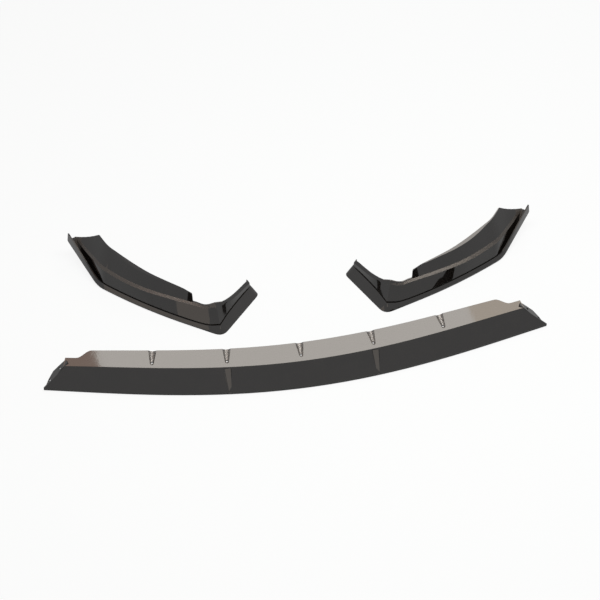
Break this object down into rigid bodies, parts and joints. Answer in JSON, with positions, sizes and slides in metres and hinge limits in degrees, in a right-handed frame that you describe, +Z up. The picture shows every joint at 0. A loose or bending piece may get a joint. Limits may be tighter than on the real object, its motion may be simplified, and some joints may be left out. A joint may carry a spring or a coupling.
{
  "type": "front splitter lip",
  "caption": "Front splitter lip of a car in three gloss black mouldings: a bowed centre lip with a slotted mounting flange and a mirrored pair of L-shaped corner lips with rising fins.",
  "frame": {"origin": "middle of the whole set's box, on the floor plane that all three mouldings stand on", "axes": "+X along the set's longest extent, towards the right corner lip; -Y is the side that the front edges face; +Z up from the floor"},
  "size_m": [1.1344, 0.4937, 0.0801],
  "materials": {
    "gloss_black": "gloss, light moulding ripple"
  },
  "bodies": {
    "root": {"centre_lip": "gloss_black", "left_corner_lip": "gloss_black", "right_corner_lip": "gloss_black"}
  },
  "joints": []
}
